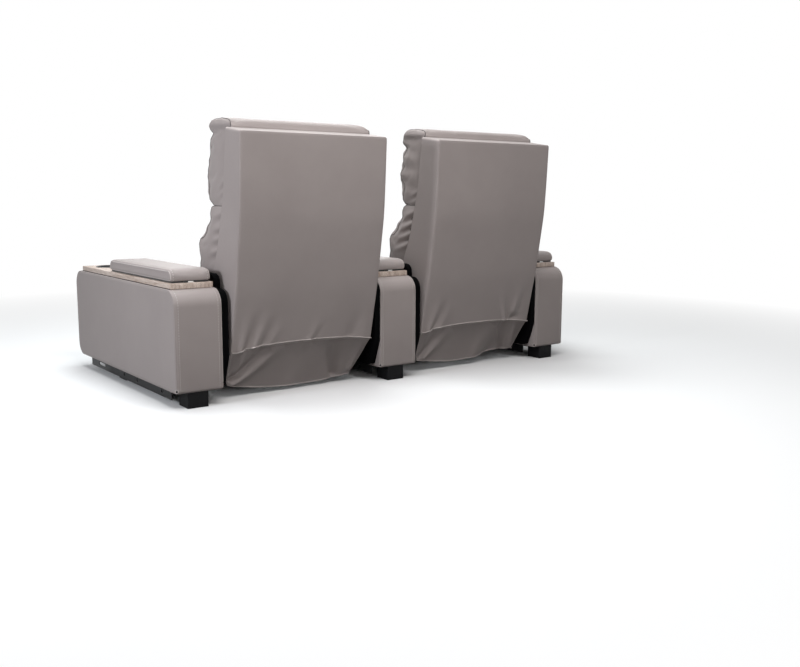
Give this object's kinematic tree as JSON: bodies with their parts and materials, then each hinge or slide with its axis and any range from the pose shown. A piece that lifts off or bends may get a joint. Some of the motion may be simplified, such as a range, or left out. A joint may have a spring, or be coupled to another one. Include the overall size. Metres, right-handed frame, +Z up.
{
  "type": "cinema recliner seat",
  "caption": "Twin reclining cinema seat: upholstered shell backs with pillows, padded arms with oak boards, cup holders and lidded bins, and linked powered footrests.",
  "frame": {"origin": "middle of the unit's footprint, on the floor", "axes": "+X along the row to the sitters' left, -Y the way the sitters face, +Z up"},
  "size_m": [1.898, 1.1448, 0.9997],
  "materials": {
    "leather_grey": "matte",
    "cushion_grey": "matte",
    "oak_board": "satin",
    "plywood": "matte",
    "black_wood": "matte",
    "black_plastic": "satin",
    "control_panel": "gloss",
    "button_grey": "satin",
    "supply_case": "matte",
    "black_steel": "satin",
    "zinc": "satin"
  },
  "bodies": {
    "frame": {"arm_rails": "black_steel", "control_panels": "control_panel", "feet": "black_wood", "left_arm_board": "oak_board", "left_arm_carcass": "plywood", "left_arm_cover": "leather_grey", "left_base_frame": "black_steel", "left_cup_holder": "black_plastic", "left_seat_cushion": "cushion_grey", "left_seat_frame": "plywood", "lid_hinges": "zinc", "mech_plates": "black_steel", "middle_arm_board": "oak_board", "middle_arm_carcass": "plywood", "middle_arm_cover": "leather_grey", "middle_cup_holder": "black_plastic", "pivot_pins": "zinc", "power_supply": "supply_case", "right_arm_board": "oak_board", "right_arm_carcass": "plywood", "right_arm_cover": "leather_grey", "right_base_frame": "black_steel", "right_cup_holder": "black_plastic", "right_seat_cushion": "cushion_grey", "right_seat_frame": "plywood", "side_panels": "black_wood"},
    "left_lid": {"left_lid_board": "black_plastic", "left_arm_pad": "cushion_grey"},
    "middle_lid": {"middle_lid_board": "black_plastic", "middle_arm_pad": "cushion_grey"},
    "right_lid": {"right_lid_board": "black_plastic", "right_arm_pad": "cushion_grey"},
    "left_back": {"left_back_shell": "leather_grey", "left_back_frame": "black_steel", "left_head_cushion": "cushion_grey", "left_lumbar_cushion": "cushion_grey", "left_back_skirt": "leather_grey"},
    "left_crank": {"left_footrest_crank": "black_steel"},
    "left_link": {"left_footrest_link": "black_steel"},
    "left_footrest": {"left_footrest_board": "plywood", "left_footrest_pad": "cushion_grey"},
    "left_drive": {"left_drive_link": "zinc"},
    "left_actuator": {"left_actuator_body": "black_steel"},
    "left_rod": {"left_actuator_rod": "zinc"},
    "left_key_open": {"left_button_open": "button_grey"},
    "left_key_close": {"left_button_close": "button_grey"},
    "right_back": {"right_back_shell": "leather_grey", "right_back_frame": "black_steel", "right_head_cushion": "cushion_grey", "right_lumbar_cushion": "cushion_grey", "right_back_skirt": "leather_grey"},
    "right_crank": {"right_footrest_crank": "black_steel"},
    "right_link": {"right_footrest_link": "black_steel"},
    "right_footrest": {"right_footrest_board": "plywood", "right_footrest_pad": "cushion_grey"},
    "right_drive": {"right_drive_link": "zinc"},
    "right_actuator": {"right_actuator_body": "black_steel"},
    "right_rod": {"right_actuator_rod": "zinc"},
    "right_key_open": {"right_button_open": "button_grey"},
    "right_key_close": {"right_button_close": "button_grey"}
  },
  "joints": [
    {"name": "left_lid_hinge", "type": "hinge", "parent": "frame", "child": "left_lid", "pos_m": [0.86, 0.4187, 0.4406], "axis": [-1, 0, 0], "range_deg": [0, 80]},
    {"name": "middle_lid_hinge", "type": "hinge", "parent": "frame", "child": "middle_lid", "pos_m": [0, 0.4187, 0.4406], "axis": [-1, 0, 0], "range_deg": [0, 80]},
    {"name": "right_lid_hinge", "type": "hinge", "parent": "frame", "child": "right_lid", "pos_m": [-0.86, 0.4187, 0.4406], "axis": [-1, 0, 0], "range_deg": [0, 80]},
    {"name": "left_back_recline", "type": "hinge", "parent": "frame", "child": "left_back", "pos_m": [0.43, 0.2915, 0.3], "axis": [-1, 0, 0], "range_deg": [0, 35]},
    {"name": "left_crank_turn", "type": "hinge", "parent": "frame", "child": "left_crank", "pos_m": [0.43, -0.2575, 0.262], "axis": [-1, 0, 0], "range_deg": [0, 75.55]},
    {"name": "left_link_turn", "type": "hinge", "parent": "left_crank", "child": "left_link", "pos_m": [0.43, -0.22175, 0.06014], "axis": [-1, 0, 0], "range_deg": [-83.92, 0]},
    {"name": "left_footrest_turn", "type": "hinge", "parent": "left_link", "child": "left_footrest", "pos_m": [0.43, -0.3945, 0.215], "axis": [-1, 0, 0], "range_deg": [0, 96.39]},
    {"name": "left_drive_turn", "type": "hinge", "parent": "left_back", "child": "left_drive", "pos_m": [0.43, 0.31907, 0.21254], "axis": [-1, 0, 0], "range_deg": [-35.01, 0]},
    {"name": "left_actuator_tilt", "type": "hinge", "parent": "frame", "child": "left_actuator", "pos_m": [0.43, 0.1325, 0.15], "axis": [-1, 0, 0], "range_deg": [-1.55, 0]},
    {"name": "left_rod_slide", "type": "slide", "parent": "left_actuator", "child": "left_rod", "axis": [0, -0.9785, 0.2064], "range_m": [0, 0.05413]},
    {"name": "left_open_press", "type": "slide", "parent": "frame", "child": "left_key_open", "axis": [0, 0, -1], "range_m": [0, 0.002], "stiffness_N_per_m": 400, "springref_m": -0.001},
    {"name": "left_close_press", "type": "slide", "parent": "frame", "child": "left_key_close", "axis": [0, 0, -1], "range_m": [0, 0.002], "stiffness_N_per_m": 400, "springref_m": -0.001},
    {"name": "right_back_recline", "type": "hinge", "parent": "frame", "child": "right_back", "pos_m": [-0.43, 0.2915, 0.3], "axis": [-1, 0, 0], "range_deg": [0, 35]},
    {"name": "right_crank_turn", "type": "hinge", "parent": "frame", "child": "right_crank", "pos_m": [-0.43, -0.2575, 0.262], "axis": [-1, 0, 0], "range_deg": [0, 75.55]},
    {"name": "right_link_turn", "type": "hinge", "parent": "right_crank", "child": "right_link", "pos_m": [-0.43, -0.22175, 0.06014], "axis": [-1, 0, 0], "range_deg": [-83.92, 0]},
    {"name": "right_footrest_turn", "type": "hinge", "parent": "right_link", "child": "right_footrest", "pos_m": [-0.43, -0.3945, 0.215], "axis": [-1, 0, 0], "range_deg": [0, 96.39]},
    {"name": "right_drive_turn", "type": "hinge", "parent": "right_back", "child": "right_drive", "pos_m": [-0.43, 0.31907, 0.21254], "axis": [-1, 0, 0], "range_deg": [-35.01, 0]},
    {"name": "right_actuator_tilt", "type": "hinge", "parent": "frame", "child": "right_actuator", "pos_m": [-0.43, 0.1325, 0.15], "axis": [-1, 0, 0], "range_deg": [-1.55, 0]},
    {"name": "right_rod_slide", "type": "slide", "parent": "right_actuator", "child": "right_rod", "axis": [0, -0.9785, 0.2064], "range_m": [0, 0.05413]},
    {"name": "right_open_press", "type": "slide", "parent": "frame", "child": "right_key_open", "axis": [0, 0, -1], "range_m": [0, 0.002], "stiffness_N_per_m": 400, "springref_m": -0.001},
    {"name": "right_close_press", "type": "slide", "parent": "frame", "child": "right_key_close", "axis": [0, 0, -1], "range_m": [0, 0.002], "stiffness_N_per_m": 400, "springref_m": -0.001}
  ],
  "couplings": [
    {"joint": "left_crank_turn", "follows": "left_back_recline", "ratio": 2.1582},
    {"joint": "left_link_turn", "follows": "left_back_recline", "ratio": -2.3975},
    {"joint": "left_footrest_turn", "follows": "left_back_recline", "ratio": 2.7536},
    {"joint": "left_drive_turn", "follows": "left_back_recline", "ratio": -1.0001},
    {"joint": "left_actuator_tilt", "follows": "left_back_recline", "ratio": -0.043995},
    {"joint": "left_rod_slide", "follows": "left_back_recline", "m_per_rad": 0.088533},
    {"joint": "right_crank_turn", "follows": "right_back_recline", "ratio": 2.1582},
    {"joint": "right_link_turn", "follows": "right_back_recline", "ratio": -2.3975},
    {"joint": "right_footrest_turn", "follows": "right_back_recline", "ratio": 2.7536},
    {"joint": "right_drive_turn", "follows": "right_back_recline", "ratio": -1.0001},
    {"joint": "right_actuator_tilt", "follows": "right_back_recline", "ratio": -0.043995},
    {"joint": "right_rod_slide", "follows": "right_back_recline", "m_per_rad": 0.088533}
  ]
}
